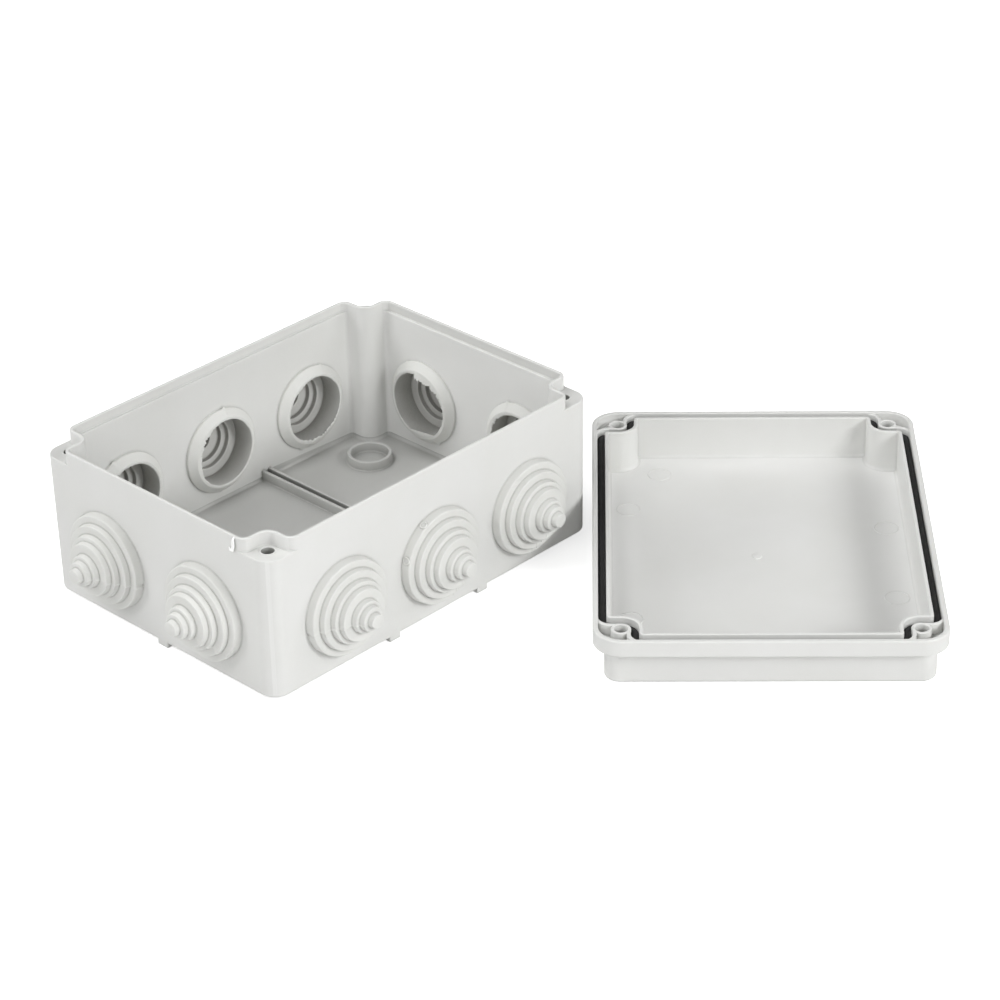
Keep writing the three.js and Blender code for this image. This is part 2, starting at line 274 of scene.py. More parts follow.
def combine(body, tool, operation):
    """The mesh of body after a union or difference with tool."""
    a, b = as_object(body), as_object(tool)
    modifier = a.modifiers.new("combine", "BOOLEAN")
    modifier.operation, modifier.solver, modifier.object = operation, "MANIFOLD", b
    bpy.context.view_layer.update()
    made = bpy.data.meshes.new_from_object(a.evaluated_get(bpy.context.evaluated_depsgraph_get()))
    if len(made.polygons) == 0:
        raise RuntimeError("a boolean gave nothing")
    for o in (a, b):
        bpy.data.objects.remove(o)
    return made


def add_all(body, meshes):
    for mesh in meshes:
        body = combine(body, mesh, "UNION")
    return body


# Face attribute that says where light and shade are painted: above 0 painted shade on the base and entries
# and painted light on the cover's floor, below 0 painted light on the base and painted shade in the cover's
# pockets.
PAINTED_LIGHT_AND_SHADE = "painted_light_and_shade"         # face attribute: above 0 in the recesses of a part, below 0 on a few faces
SHARP_ANGLE = 34          # degrees between faces that keep a sharp edge


def mark_painted_light_and_shade(mesh, share):
    """Marks each face with share(centre, normal), so that the material can paint light or shade on it."""
    marks = mesh.attributes.new(PAINTED_LIGHT_AND_SHADE, "FLOAT", "FACE")
    marks.data.foreach_set("value", [float(share(face.center, face.normal)) for face in mesh.polygons])


def finish_piece(name, mesh, place, body, material, nodes):
    """Puts a mesh (mm) at its place, smooths it between sharp edges, attaches it to its body and hides the
    CAD nodes it stands for.
    """
    mesh.name = name
    mesh.transform(place @ Matrix.Scale(MM, 4))
    mesh.polygons.foreach_set("use_smooth", [True] * len(mesh.polygons))
    mesh.set_sharp_from_angle(angle=math.radians(SHARP_ANGLE))
    mesh.materials.clear()
    mesh.materials.append(material)
    piece = as_object(mesh, name)
    normals = piece.modifiers.new("flat faces stay flat", "WEIGHTED_NORMAL")
    normals.keep_sharp = True
    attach(piece, body)
    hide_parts(*nodes)
    return piece


# ---- Materials ----


def grey(value, warm=0.0):
    """A linear colour from a display level of 0 to 255, with less blue the warmer it is."""
    def linear(v):
        v = v / 255
        return v / 12.92 if v <= 0.04045 else ((v + 0.055) / 1.055) ** 2.4
    return (linear(value), linear(value + warm * 0.15), linear(value - warm), 1.0)


class Nodes:
    """Short calls for building a node material on object coordinates."""

    def __init__(self, name):
        self.material = bpy.data.materials.new(name)
        self.material.use_nodes = True
        self.tree = self.material.node_tree
        self.tree.nodes.clear()
        self.shader = self.add("ShaderNodeBsdfPrincipled")
        output = self.add("ShaderNodeOutputMaterial")
        self.link(self.shader.outputs["BSDF"], output.inputs["Surface"])
        self.where = self.add("ShaderNodeTexCoord").outputs["Object"]

    def add(self, kind, **values):
        node = self.tree.nodes.new(kind)
        for key, value in values.items():
            setattr(node, key, value)
        return node

    def link(self, source, target):
        self.tree.links.new(source, target)

    def noise(self, feature, detail=2.0, stretch=(1, 1, 1), distortion=0.0, offset=0.0):
        """Noise whose grains are about feature millimetres across, longer along a stretched axis."""
        mapping = self.add("ShaderNodeMapping")
        mapping.inputs["Location"].default_value = (offset, offset, offset)
        mapping.inputs["Scale"].default_value = [1 / (feature * MM * s) for s in stretch]
        self.link(self.where, mapping.inputs["Vector"])
        made = self.add("ShaderNodeTexNoise")
        made.inputs["Scale"].default_value = 1.0
        made.inputs["Detail"].default_value = detail
        made.inputs["Distortion"].default_value = distortion
        self.link(mapping.outputs["Vector"], made.inputs["Vector"])
        return made.outputs["Fac"]

    def spread(self, value, low, high, from_low=0.3, from_high=0.7):
        """Maps a noise value to a range."""
        made = self.add("ShaderNodeMapRange")
        made.inputs["From Min"].default_value = from_low
        made.inputs["From Max"].default_value = from_high
        made.inputs["To Min"].default_value = low
        made.inputs["To Max"].default_value = high
        self.link(value, made.inputs["Value"])
        return made.outputs["Result"]

    def corners(self, reach, share, inside=False, shut=0.45, free=0.95):
        """From share in corners narrower than reach (mm) to 0 in the open.  Inside finds outer edges.  An
        ambient occlusion mask for painted shade in corners and painted highlights on edges.
        """
        made = self.add("ShaderNodeAmbientOcclusion", samples=6, inside=inside)
        made.inputs["Distance"].default_value = reach * MM
        return self.spread(made.outputs["AO"], share, 0, shut, free)

    def marks(self, below=False):
        """The faces' marks as a share: how far above 0, or how far below 0."""
        marks = self.add("ShaderNodeAttribute", attribute_name=PAINTED_LIGHT_AND_SHADE).outputs["Fac"]
        return self.spread(marks, 1, 0, -1, 0) if below else marks

    def painted_light_and_shade(self, reach, share, shut, free, below=False):
        """Wide corners, only on the faces marked above 0, or only on those marked below 0: the mask for wide
        painted shade and painted light.
        """
        both = self.add("ShaderNodeMath", operation="MULTIPLY", use_clamp=True)
        self.link(self.marks(below), both.inputs[0])
        self.link(self.corners(reach, share, shut=shut, free=free), both.inputs[1])
        return both.outputs["Value"]

    def mix(self, factor, a, b):
        made = self.add("ShaderNodeMix", data_type="RGBA")
        for socket, value in ((made.inputs[0], factor), (made.inputs[6], a), (made.inputs[7], b)):
            if isinstance(value, bpy.types.NodeSocket):
                self.link(value, socket)
            else:
                socket.default_value = value
        return made.outputs[2]

    def bump(self, heights):
        """Relief from (value, depth in millimetres) pairs."""
        normal = None
        for value, depth in heights:
            made = self.add("ShaderNodeBump")
            made.inputs["Strength"].default_value = 1.0
            made.inputs["Distance"].default_value = depth * MM
            self.link(value, made.inputs["Height"])
            if normal is not None:
                self.link(normal, made.inputs["Normal"])
            normal = made.outputs["Normal"]
        self.link(normal, self.shader.inputs["Normal"])

    def set(self, **values):
        for key, value in values.items():
            socket = self.shader.inputs[key.replace("_", " ")]
            if isinstance(value, bpy.types.NodeSocket):
                self.link(value, socket)
            else:
                socket.default_value = value


def moulded_grey(n, clouds):
    """The colour shared by both mouldings: faint flow clouds and a satin grain."""
    flow = n.noise(9, detail=2.0, stretch=(1, 1, 5), offset=3.1)
    speck = n.noise(0.35, detail=1.0, offset=7.7)
    colour = n.mix(n.spread(clouds, 0, 1), grey(219, 2.6), grey(222, 1.6))
    colour = n.mix(n.spread(flow, 0, 0.35), colour, grey(217, 2.0))
    return n.mix(n.spread(speck, 0, 0.25, 0.35, 0.75), colour, grey(227, 2.0))


def moulded_surface(n, clouds, colour):
    """The gloss and the fine unevenness shared by both mouldings."""
    n.set(Base_Color=colour, Roughness=n.spread(clouds, 0.40, 0.50), IOR=1.5)
    n.bump([(n.noise(0.5, detail=3.0), 0.006), (n.noise(6, detail=2.0, offset=1.3), 0.02)])
    return n.material


def housing_plastic():
    """Pale grey plastic of the base: painted shade in the floor's corners and in creases, painted highlights
    on edges and on the flash, painted light on the end walls.
    """
    n = Nodes("housing_plastic")
    clouds = n.noise(28, detail=3.0, distortion=0.6)
    colour = moulded_grey(n, clouds)
    # painted shade: darker where the floor, its ribs and rings and the pilot holes are closed in
    colour = n.mix(n.painted_light_and_shade(9.0, 0.7, 0.2, 0.82), colour, grey(72, 6.0))
    # painted shade in creases
    colour = n.mix(n.corners(1.0, 0.38), colour, grey(120, 6.0))
    # painted highlights on outer edges
    colour = n.mix(n.corners(0.45, 0.3, inside=True), colour, grey(238, 2.0))
    # painted highlight on the burr, painted light on the end walls inside
    colour = n.mix(n.marks(below=True), colour, grey(253, 0.5))
    return moulded_surface(n, clouds, colour)


def cover_plastic():
    """The same plastic for the cover: painted light round the edge of its floor, painted shade in the screw
    pockets and creases, painted highlights on edges.
    """
    n = Nodes("cover_plastic")
    clouds = n.noise(28, detail=3.0, distortion=0.6)
    colour = moulded_grey(n, clouds)
    # painted light on the tray's floor near its walls, against the shade they cast
    colour = n.mix(n.painted_light_and_shade(16.0, 0.75, 0.2, 0.95), colour, grey(250, 0.5))
    # painted shade in the pockets round the screws
    colour = n.mix(n.painted_light_and_shade(3.2, 0.6, 0.15, 0.8, below=True), colour, grey(110, 4.0))
    # painted shade in creases
    colour = n.mix(n.corners(1.0, 0.15), colour, grey(120, 6.0))
    # painted highlights on outer edges
    colour = n.mix(n.corners(0.45, 0.3, inside=True), colour, grey(238, 2.0))
    return moulded_surface(n, clouds, colour)


def entry_rubber():
    """Soft grey rubber, duller than the housing, with painted shade inside the cone and in creases, and
    painted highlights on edges.
    """
    n = Nodes("entry_rubber")
    clouds = n.noise(7, detail=3.0, distortion=1.0)
    grain = n.noise(0.3, detail=2.0, offset=2.2)
    colour = n.mix(n.spread(clouds, 0, 1), grey(219, 3.2), grey(222, 2.6))
    colour = n.mix(n.spread(grain, 0, 0.3), colour, grey(213, 3.0))
    # painted shade inside the cone
    colour = n.mix(n.painted_light_and_shade(14.0, 0.7, 0.54, 0.95), colour, (0.046, 0.036, 0.026, 1))
    # painted shade in creases
    colour = n.mix(n.corners(0.65, 0.6), colour, (0.125, 0.120, 0.098, 1))
    # painted highlights on outer edges
    colour = n.mix(n.corners(0.42, 0.75, inside=True), colour, grey(240, 2.5))
    n.set(Base_Color=colour, Roughness=n.spread(clouds, 0.52, 0.64), IOR=1.45)
    n.bump([(n.noise(0.4, detail=3.0), 0.006), (n.noise(3.5, detail=2.0, offset=4.4), 0.012)])
    return n.material


def gasket_rubber():
    """Black foam cord with a fine skin."""
    n = Nodes("gasket_rubber")
    clouds = n.noise(2.5, detail=3.0)
    colour = n.mix(n.spread(clouds, 0, 1), grey(36), grey(46))
    n.set(Base_Color=colour, Roughness=n.spread(clouds, 0.5, 0.66), IOR=1.5)
    n.bump([(n.noise(0.25, detail=3.0), 0.012)])
    return n.material


def screw_steel():
    """Zinc plated steel with fine turning marks and a faint warm and cool tint."""
    n = Nodes("screw_steel")
    tint = n.noise(1.6, detail=3.0)
    marks = n.noise(0.6, detail=4.0, stretch=(6, 6, 0.35))
    colour = n.mix(n.spread(tint, 0, 1), (0.62, 0.64, 0.68, 1), (0.70, 0.68, 0.62, 1))
    n.set(Base_Color=colour, Metallic=1.0, Roughness=n.spread(marks, 0.24, 0.42))
    n.bump([(marks, 0.008)])
    return n.material


FLOOR_GLOW = 0.68         # whitens the table in the picture, but doesn't light the object


def studio_floor():
    """Plain white paper on a light table."""
    n = Nodes("studio_floor")
    paper = n.noise(40, detail=2.0)
    colour = n.mix(n.spread(paper, 0, 1), (0.79, 0.79, 0.79, 1), (0.81, 0.81, 0.81, 1))
    seen = n.add("ShaderNodeLightPath").outputs["Is Camera Ray"]
    glow = n.add("ShaderNodeMath", operation="MULTIPLY")
    glow.inputs[1].default_value = FLOOR_GLOW
    n.link(seen, glow.inputs[0])
    n.set(Base_Color=colour, Roughness=0.9)
    n.set(Emission_Color=(1, 1, 1, 1), Emission_Strength=glow.outputs["Value"])
    return n.material


HOUSING = housing_plastic()
COVER_PLASTIC = cover_plastic()
ENTRY = entry_rubber()
GASKET = gasket_rubber()
STEEL = screw_steel()

# ---- Base ----

BASE_PLACE = Matrix.Identity(4)
SIGNS = ((-1, -1), (1, -1), (1, 1), (-1, 1))
SCREW_PLACES = [(sx * (HALF[0] - SCREW_INSET), sy * (HALF[1] - SCREW_INSET)) for sx, sy in SIGNS]
PILOT_RADIUS, PILOT_DEPTH = 2.1, 19.0
CORE_RADIUS, CORE_DEPTH = 3.4, 26.0
RIB_HEIGHT, RIB_WIDTH, RIB_GAP, RIB_PAIR_X = 3.5, 1.3, 1.7, 20.0
RING_PLACE = (52.3, 32.7)
RING_RADIUS, RING_WALL, RING_HEIGHT = 7.8, 1.2, 3.4
DIMPLE_RADIUS, DIMPLE_DEPTH = 2.3, 1.2
FOOT_WIDTH = 4.6
HOLE_RADIUS = 13.9


def base_shell():
    """Floor, walls, hollow corner columns, corner platforms and sealing tongue in one skin."""
    rings = []
    # Underside and its rounded edge, then up the drafted wall
    for t in np.linspace(0, math.pi / 2, EDGE_STEPS + 2):
        shrink = BOTTOM_EDGE * (1 - math.sin(t))
        corner = plain_corner(DRAFT + shrink, BASE_CORNER - shrink)
        rings.append(outline(corner, BOTTOM_EDGE * (1 - math.cos(t))))
    # Platform: rounded outer edge, flat, fillet to the tongue.  It tapers to nothing on the walls.
    outer, inner = plain_corner(0, BASE_CORNER), seal_corner(0)
    gap = np.linalg.norm(inner - outer, axis=1)
    way = (inner - outer) / np.maximum(gap, 1e-9)[:, None]
    edge = np.minimum(0.45, 0.35 * gap)
    for t in np.linspace(0, math.pi / 2, EDGE_STEPS + 1):
        moved = outer + way * (edge * (1 - math.cos(t)))[:, None]
        rings.append(outline(moved, PLATFORM_Z - edge * (1 - math.sin(t))))
    for t in np.linspace(0, math.pi / 2, EDGE_STEPS + 1):
        moved = inner - way * (edge * (1 - math.sin(t)))[:, None]
        rings.append(outline(moved, PLATFORM_Z + edge * (1 - math.cos(t))))
    # Tongue
    profile = rounded([
        (0, PLATFORM_Z + 1), (0, BASE_TOP, 0.4), (TONGUE, BASE_TOP, 0.4), (TONGUE, LEDGE_Z + 1),
    ])
    rings += [outline(seal_corner(inset), z) for inset, z in profile]
    # Ledge, inner wall, fillet and floor
    ledge = rounded([
        (TONGUE, LEDGE_Z + 1), (TONGUE, LEDGE_Z, 0.3), (WALL, LEDGE_Z, 0.35), (WALL, LEDGE_Z - 2),
    ])
    rings += [outline(seal_corner(inset, TONGUE), z) for inset, z in ledge[1:]]
    fillet = rounded([(0, LEDGE_Z - 2), (0, FLOOR, FLOOR_FILLET), (FLOOR_FILLET + 0.1, FLOOR)], steps=6)
    rings += [outline(seal_corner(WALL + grow, TONGUE + grow), z) for grow, z in fillet[1:]]
    return skin(rings)


def rib_profile(centre):
    """A floor rib with rounded top edges and a small fillet at its foot."""
    half, foot = RIB_WIDTH / 2, 0.5
    return rounded([
        (centre - half - foot, FLOOR - 0.6), (centre - half - foot, FLOOR), (centre - half, FLOOR, 0.45),
        (centre - half + 0.05, FLOOR + RIB_HEIGHT, 0.3), (centre + half - 0.05, FLOOR + RIB_HEIGHT, 0.3),
        (centre + half, FLOOR, 0.45), (centre + half + foot, FLOOR), (centre + half + foot, FLOOR - 0.6),
    ], closed=True)


def floor_ring(x, y):
    inner, top = RING_RADIUS - RING_WALL, FLOOR + RING_HEIGHT
    return tube(rounded([
        (RING_RADIUS + 0.6, FLOOR - 0.6), (RING_RADIUS + 0.6, FLOOR), (RING_RADIUS + 0.08, FLOOR, 0.5),
        (RING_RADIUS, top, 0.35), (inner, top, 0.35), (inner - 0.08, FLOOR, 0.5),
        (inner - 0.6, FLOOR), (inner - 0.6, FLOOR - 0.6),
    ], closed=True), x, y, steps=96)


def foot(x, y, size_x, size_y):
    """A small pad under the bottom edge, with rounded corners."""
    corners = rounded([
        (x - size_x / 2, y - size_y / 2, 0.3), (x + size_x / 2, y - size_y / 2, 0.3),
        (x + size_x / 2, y + size_y / 2, 0.3), (x - size_x / 2, y + size_y / 2, 0.3),
    ], closed=True)
    centre = np.array([x, y])
    rings = []
    low = -FOOT_HEIGHT
    for shrink, z in ((0.3, low), (0.1, low + 0.1), (0.0, low + 0.3), (0.0, 1.4)):
        rings.append(np.array([[*(p - shrink * np.sign(p - centre)), z] for p in corners]))
    return skin(rings)


def base_feet():
    y = HALF[1] - DRAFT - WALL / 2
    x = HALF[0] - DRAFT - WALL / 2
    long_walls = [(sx * RIB_PAIR_X, sy * y, FOOT_WIDTH, WALL) for sx in (-1, 1) for sy in (-1, 1)]
    return [foot(*where) for where in long_walls + [(-x, 0, WALL, FOOT_WIDTH), (x, 0, WALL, FOOT_WIDTH)]]


def drum(radius, start, end, place):
    """A cylinder round +X, for cutting, moved to its place."""
    mesh = turned([(0, start), (radius, start), (radius, end), (0, end)], steps=96)
    mesh.transform(place @ Matrix.Rotation(math.pi / 2, 4, "Y"))
    return mesh


def screw_socket(x, y):
    """The pilot hole in a platform, with a softened mouth."""
    return turned(rounded([
        (0, PLATFORM_Z - PILOT_DEPTH), (PILOT_RADIUS, PLATFORM_Z - PILOT_DEPTH),
        (PILOT_RADIUS, PLATFORM_Z + 0.15, 0.3), (PILOT_RADIUS + 1.2, PLATFORM_Z + 0.15),
        (0, PLATFORM_Z + 2),
    ]), x, y)


def socket_rim(x, y):
    """The slightly raised edge round a pilot hole."""
    return turned(rounded([
        (0, PLATFORM_Z - 0.5), (PILOT_RADIUS + 0.9, PLATFORM_Z - 0.5),
        (PILOT_RADIUS + 0.55, PLATFORM_Z + 0.15, 0.3), (0, PLATFORM_Z + 0.15),
    ]), x, y)


BURR_PATH = (             # (along y, up, out of the wall, radius)
    (-38.7, 54.1, -0.1, 0.25), (-38.6, 53.3, 0.4, 0.5), (-38.6, 52.0, 0.5, 0.6),
    (-38.6, 50.7, 0.6, 0.6), (-38.25, 49.6, 0.7, 0.62), (-37.4, 49.4, 0.7, 0.5), (-36.8, 50.1, 0.6, 0.2),
)


def burr():
    """A thin curl of flash left standing where the corner's recess begins."""
    around = np.linspace(0, 2 * math.pi, 10, endpoint=False)
    path = np.array(BURR_PATH)
    rings = []
    for i, (y, z, out, radius) in enumerate(path):
        ahead = path[min(i + 1, len(path) - 1), :2] - path[max(i - 1, 0), :2]
        side = unit(np.array([ahead[1], -ahead[0]]))
        wide = radius * np.cos(around)
        rings.append(np.column_stack([-HALF[0] - out + 0.5 * radius * np.sin(around),
                                      y + side[0] * wide, z + side[1] * wide]))
    return skin(rings)


BURR_Y, BURR_HALF = -37.9, 1.6              # middle and half width of the curl
# how much light is painted on the end walls inside the base
END_WALL_PAINTED_LIGHT = 0.3


def base_painted_light_and_shade(at, normal):
    """1 on the floor, its ribs and rings and in the pilot holes, where shade is painted; below 0 on the
    burr, where a highlight is painted, and on the end walls, where light is painted.
    """
    if at.x < -HALF[0] - 0.02 and abs(at.y - BURR_Y) < BURR_HALF:
        return -1
    if any(math.hypot(at.x - x, at.y - y) < PILOT_RADIUS + 0.1 for x, y in SCREW_PLACES):
        return PLATFORM_Z - PILOT_DEPTH - 0.1 < at.z < PLATFORM_Z - 0.4
    above_ribs = FLOOR + RIB_HEIGHT + 1
    if (at.z > above_ribs and abs(normal.z) < 0.5
            and abs(at.x) < HALF[0] - 0.6 * WALL and abs(at.y) < HALF[1] - 0.6 * WALL):
        return -END_WALL_PAINTED_LIGHT * normal.x ** 2
    return (abs(at.x) < HALF[0] - WALL + 0.05 and abs(at.y) < HALF[1] - WALL + 0.05
            and FLOOR - 0.05 < at.z < above_ribs)


# ---- Cable entries ----

RUBBER = 1.6
FLANGE_RADIUS, FLANGE_THICKNESS = 16.4, 3.0
TIER_RADII = (13.45, 10.6, 8.9, 5.5, 4.1, 2.4)
TIER_STEP, TIER_DRAFT = 2.0, 0.2
INNER_RING_RADIUS, INNER_RING_EDGE, INNER_RING_DEPTH, INNER_RING_LIP = 15.2, 0.7, 3.2, 1.0
MOUTH_RADIUS = TIER_RADII[0] - RUBBER
MOUTH_X = -WALL - INNER_RING_DEPTH          # inner end of an entry, where its mouth is
FLASH_DEPTH = 0.7         # how far the flash round a mouth reaches into it

WALLS = {"front": (0, -1), "back": (0, 1), "left": (-1, 0), "right": (1, 0)}
ENTRIES = [f"cable_entry_{wall}_{place}"
           for wall in ("front", "back") for place in ("left", "middle", "right")]
ENTRIES += [f"cable_entry_{wall}_{place}" for wall in ("left", "right") for place in ("front", "back")]


def entry_place(name):
    """Takes an entry made round +X, its flange against x = 0, to its hole in the wall."""
    low, high = box_mm(name)
    centre = (low + high) / 2
    nx, ny = WALLS[name.split("_")[2]]
    at = Vector((nx * HALF[0] if nx else centre[0], ny * HALF[1] if ny else centre[1], centre[2]))
    return Matrix.Translation(at) @ Matrix.Rotation(math.atan2(ny, nx), 4, "Z")


def entry_profile():
    """(radius, distance out) points from the tip, over the tiers, through the wall and back inside."""
    tip = FLANGE_THICKNESS + len(TIER_RADII) * TIER_STEP
    outer, inner = [(0, tip)], []
    for i, radius in reversed(list(enumerate(TIER_RADII))):
        face = FLANGE_THICKNESS + (i + 1) * TIER_STEP
        outer += [(radius, face, 0.38), (radius + TIER_DRAFT, face - TIER_STEP, 0.12)]
        inner = [(radius - RUBBER, face - RUBBER)] + inner
    outer += [
        (FLANGE_RADIUS - TIER_DRAFT, FLANGE_THICKNESS, 0.55), (FLANGE_RADIUS, 0.0),
        (HOLE_RADIUS - 0.3, 0.0), (HOLE_RADIUS - 0.3, -WALL),
        (INNER_RING_RADIUS, -WALL), (INNER_RING_RADIUS, -WALL - INNER_RING_EDGE - 0.3, 0.25),
    ]
    throat = [(MOUTH_RADIUS + INNER_RING_LIP, MOUTH_X, 0.4), (MOUTH_RADIUS, MOUTH_X, 0.4),
              (MOUTH_RADIUS, MOUTH_X + FLASH_DEPTH)]
    for i, (radius, face) in enumerate(inner):
        following = inner[i + 1][0] if i + 1 < len(inner) else 0.0
        throat.append((radius, face, 0.4) if radius > 2 else (radius, face, 0.2))
        throat.append((following, face, 0.3) if following > 1 else (following, face))
    return rounded(outer + throat)


def away_from(angles, centre):
    """Angles measured from a centre, between half a turn either way."""
    return (angles - centre + math.pi) % (2 * math.pi) - math.pi


def bell(angles, centre, width):
    """1 at the centre angle, falling to 0 over the width, both in radians."""
    return np.exp(-(away_from(angles, centre) / width) ** 2)


ENTRY_STEPS = 208
NOISE_SHIFT = 17.3        # keeps the noise of the entries apart
SEAMS = {"cable_entry_front_left": 260, "cable_entry_left_back": 103, "cable_entry_left_front": 135}
PAD_ANGLES = (-72.6, -27.5)     # round gate marks on the rim of the two middle entries
PAD_RADIUS, PAD_RELIEF = 1.3, 0.2
FLASH = {"cable_entry_back_right": 195, "cable_entry_right_back": 330}      # where the flash is thickest
NIBS = {"cable_entry_back_middle": -7, "cable_entry_back_right": 160, "cable_entry_right_back": 208}
TEETH = 42                # of the flash round a mouth
FLASH_REACH, FLASH_RISE = 0.85, 0.2         # how far the flash stands into the mouth and into the box
NICK_DEPTH = 0.45
NIB_HEIGHT, FAR_NIB_HEIGHT = 0.8, 0.4       # feed marks on the ring inside the box
FLAP_START, FLAP_END, FLAP_GROWTH = -0.85, 0.12, 0.95     # of a torn mouth, in radians from its top
FLAP_LEAST, FLAP_DROP, FLAP_ROUGHNESS, FLAP_RISE = 0.35, 1.3, 0.5, 0.5
STRIP_ANGLE = math.radians(187)             # middle of the straight-edged strip left below
STRIP_HALF, STRIP_DEPTH = 0.8, 1.5          # half its width in radians, and its depth


def wavy(x, y, shift):
    return np.array([noise.noise(Vector((a, b, shift))) for a, b in zip(x, y)])


def tear(r, d, angles, rough):
    """Makes a mouth torn: a ragged flap hangs in its top, and a strip with a straight edge is left below."""
    turn = away_from(angles, 0)
    flap = np.clip((turn - FLAP_START) / FLAP_GROWTH, 0, 1) * (turn < FLAP_END)
    r -= (FLAP_LEAST + FLAP_DROP * flap + FLAP_ROUGHNESS * rough) * (flap > 0)
    d -= FLAP_RISE * flap
    below = away_from(angles, STRIP_ANGLE)
    chord = (MOUTH_RADIUS - STRIP_DEPTH) / np.maximum(np.cos(below), 0.2)
    return np.where(np.abs(below) < STRIP_HALF, np.minimum(r, chord), r), d


def cable_entry(index, seam, flash, nib, torn=False):
    """One stepped cone.  The angles of its mould line, flash and nib are measured from straight up."""
    profile = entry_profile()
    tip = profile[0][1]
    fine = seam + np.radians([-2.4, -1.2, -0.6, 0, 0.6, 1.2, 2.4])
    angles = np.sort(np.concatenate([np.linspace(0, 2 * math.pi, ENTRY_STEPS, endpoint=False),
                                     fine % (2 * math.pi)]))
    shift = index * NOISE_SHIFT
    soft = wavy(np.cos(angles) * 1.3, np.sin(angles) * 1.3, shift)
    rough = wavy(np.cos(angles) * 9, np.sin(angles) * 9, shift + 5)
    teeth = np.abs(np.sin(angles * TEETH / 2 + 4 * rough))
    ragged = np.clip(np.maximum(soft, 1.3 * bell(angles, flash, 0.8)), 0, 1.1) * (0.1 + 0.9 * teeth)
    rings = []
    for k, (radius, out) in enumerate(profile):
        r = np.full(len(angles), float(radius))
        d = np.full(len(angles), float(out))
        if out > FLANGE_THICKNESS * 0.5 and k < len(profile) / 2:
            # mould line over the outside, and a nib where it crosses the edge of each tier
            before, after = profile[max(k - 1, 0)], profile[k + 1]
            at_edge = before[1] > out > after[1] and radius > 1
            line = bell(angles, seam, 0.28 / max(radius, 1.0))
            r += line * (0.25 if at_edge else 0.06)
            d = np.minimum(d + line * 0.09, tip)
        if 0 <= out < 1 and radius > TIER_RADII[0] + 1:
            # a nick in the flange beside the mould line
            r -= NICK_DEPTH * bell(angles, seam - 0.04, 0.02)
        if out < MOUTH_X + 0.4 and radius < MOUTH_RADIUS + 0.6:
            # flash left round the mouth
            r -= FLASH_REACH * ragged
            d -= FLASH_RISE * ragged
            if torn:
                r, d = tear(r, d, angles, rough)
        if out < -WALL - 0.3 and radius > INNER_RING_RADIUS - 0.3:
            # small feed marks on the ring inside the box
            r += NIB_HEIGHT * bell(angles, nib, 0.04) + FAR_NIB_HEIGHT * bell(angles, nib + math.pi, 0.03)
        rings.append(np.column_stack([d, r * np.sin(angles), r * np.cos(angles)]))
    return skin(rings)


def gate_pad(angle):
    """A round mark on the rim of a flange, slightly dished, with its axis along the radius."""
    low, top = FLANGE_RADIUS - 1.2, FLANGE_RADIUS + PAD_RELIEF
    pad = turned(rounded([
        (0, low), (PAD_RADIUS, low), (PAD_RADIUS, top, 0.1), (PAD_RADIUS - 0.3, top, 0.1),
        (PAD_RADIUS - 0.45, FLANGE_RADIUS, 0.1), (0, FLANGE_RADIUS),
    ]), steps=40)
    middle_of_rim = Matrix.Translation((FLANGE_THICKNESS / 2, 0, 0))
    pad.transform(Matrix.Rotation(-math.radians(angle), 4, "X") @ middle_of_rim)
    return pad


def follow_wall(mesh, place):
    """Brings the flange's underside to the drafted wall, so that no gap shows round it."""
    for v in mesh.vertices:
        if -0.5 < v.co.x < 0.3:
            height = (place @ v.co).z
            v.co.x -= DRAFT * (1 - height / PLATFORM_Z)


def entry_painted_shade(at, normal):
    """1 inside a cone, less where a face looks into the box, 0 where it looks out or off the axis: where
    shade is painted.
    """
    if normal.x > 0.2 or normal.yz.dot(at.yz) > 0.2 * at.yz.length:
        return 0
    return 1 + 0.65 * min(normal.x, 0)


# ---- Cover ----

COVER_PLACE = (Matrix.Translation(Vector((COVER_CENTRE[0], COVER_CENTRE[1], COVER_Z)) * MM)
               @ Matrix.Rotation(COVER_TURN, 4, "Z"))
GROOVE_Z = COVER_HEIGHT - GROOVE_DEPTH
ISLAND = SEAL_CLEARANCE + GROOVE_WIDTH      # outer face of the wall inside the groove


def cover_corner(inset, radius):
    """A rounded corner of the cover, measured from the faces of the base."""
    return plain_corner(inset - OVERHANG, radius)


def cover_shell():
    """Crown, skirt, rim, groove, inner wall and tray floor in one skin."""
    skirt_z = COVER_HEIGHT - SKIRT_HEIGHT
    profile = rounded([
        (CROWN_INSET + CROWN_EDGE + 1, 0), (CROWN_INSET, 0, CROWN_EDGE), (CROWN_INSET, skirt_z, 0.3),
        (0, skirt_z, 0.35), (0, COVER_HEIGHT, 0.5), (SKIRT_WALL, COVER_HEIGHT, 0.35),
        (SKIRT_WALL, GROOVE_Z, 0.3), (SKIRT_WALL + 0.3, GROOVE_Z),
    ], steps=5)
    rings = []
    for inset, z in profile:
        share = min(max(inset / CROWN_INSET, 0), 1) if z < skirt_z + 0.4 else 0
        radius = COVER_CORNER + (CROWN_CORNER - COVER_CORNER) * share
        if z > skirt_z + 0.4:
            radius = COVER_CORNER - inset
        elif inset > CROWN_INSET:
            radius = CROWN_CORNER - (inset - CROWN_INSET)
        rings.append(outline(cover_corner(inset, radius), z))
    island = rounded([
        (ISLAND - 0.3, GROOVE_Z), (ISLAND, GROOVE_Z, 0.25), (ISLAND, COVER_HEIGHT, 0.35),
        (ISLAND + INNER_WALL, COVER_HEIGHT, 0.35), (ISLAND + INNER_WALL, COVER_SKIN, 1.0),
        (ISLAND + INNER_WALL + 1.1, COVER_SKIN),
    ], steps=5)
    rings += [outline(seal_corner(inset), z) for inset, z in island]
    return skin(rings)


